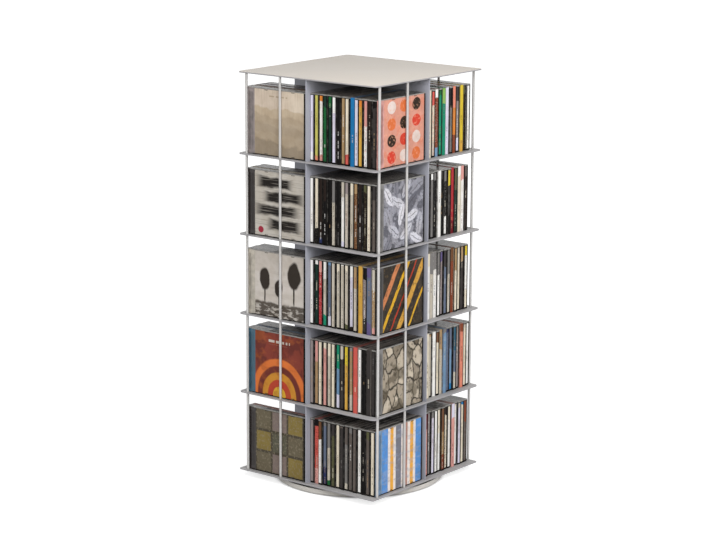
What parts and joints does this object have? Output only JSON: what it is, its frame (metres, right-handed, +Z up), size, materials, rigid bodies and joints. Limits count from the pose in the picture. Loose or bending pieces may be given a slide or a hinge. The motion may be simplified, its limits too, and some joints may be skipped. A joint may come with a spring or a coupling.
{
  "type": "rotating media tower",
  "caption": "Free-standing square media tower of stacked plates, cross dividers and retaining rods, filled with disc cases, turning on a low round ball-bearing base.",
  "frame": {"origin": "on the floor at the turning axis", "axes": "+Z up along the turning axis, -Y the front face, the plates' sides along X and Y"},
  "size_m": [0.324, 0.324, 0.7775],
  "materials": {
    "silver_paint": "fine satin powder coat",
    "rod_paint": "satin powder coat",
    "race_aluminium": "turned",
    "ball_steel": "polished",
    "cage_plastic": "moulded",
    "screw_steel": "zinc plated",
    "pad_rubber": "moulded",
    "case_plastic": "clear case over printed paper"
  },
  "bodies": {
    "base": {"base_tray": "silver_paint", "foot_pads": "pad_rubber", "lower_race": "race_aluminium", "lower_race_screws": "screw_steel"},
    "ball_ring": {"bearing_balls": "ball_steel", "ball_cage": "cage_plastic"},
    "tower": {"upper_race": "race_aluminium", "upper_race_screws": "screw_steel", "bottom_plate": "silver_paint", "shelf_1": "silver_paint", "shelf_2": "silver_paint", "shelf_3": "silver_paint", "shelf_4": "silver_paint", "top_plate": "silver_paint", "panel_across_1": "silver_paint", "panel_deep_1": "silver_paint", "panel_across_2": "silver_paint", "panel_deep_2": "silver_paint", "panel_across_3": "silver_paint", "panel_deep_3": "silver_paint", "panel_across_4": "silver_paint", "panel_deep_4": "silver_paint", "panel_across_5": "silver_paint", "panel_deep_5": "silver_paint", "rod_1": "rod_paint", "rod_2": "rod_paint", "rod_3": "rod_paint", "rod_4": "rod_paint", "rod_5": "rod_paint", "rod_6": "rod_paint", "rod_7": "rod_paint", "rod_8": "rod_paint", "rod_screws": "screw_steel", "rod_studs": "screw_steel", "cases_1_front_right": "case_plastic", "cases_1_front_left": "case_plastic", "cases_1_back_left": "case_plastic", "cases_1_back_right": "case_plastic", "cases_2_front_right": "case_plastic", "cases_2_front_left": "case_plastic", "cases_2_back_left": "case_plastic", "cases_2_back_right": "case_plastic", "cases_3_front_right": "case_plastic", "cases_3_front_left": "case_plastic", "cases_3_back_left": "case_plastic", "cases_3_back_right": "case_plastic", "cases_4_front_right": "case_plastic", "cases_4_front_left": "case_plastic", "cases_4_back_left": "case_plastic", "cases_4_back_right": "case_plastic", "cases_5_front_right": "case_plastic", "cases_5_front_left": "case_plastic", "cases_5_back_left": "case_plastic", "cases_5_back_right": "case_plastic"}
  },
  "joints": [
    {"name": "tower_spin", "type": "hinge", "parent": "base", "child": "tower", "pos_m": [0, 0, 0.009], "axis": [0, 0, 1], "continuous": true},
    {"name": "ball_ring_spin", "type": "hinge", "parent": "base", "child": "ball_ring", "pos_m": [0, 0, 0.009], "axis": [0, 0, 1], "continuous": true}
  ],
  "couplings": [
    {"joint": "ball_ring_spin", "follows": "tower_spin", "ratio": 0.4864}
  ]
}
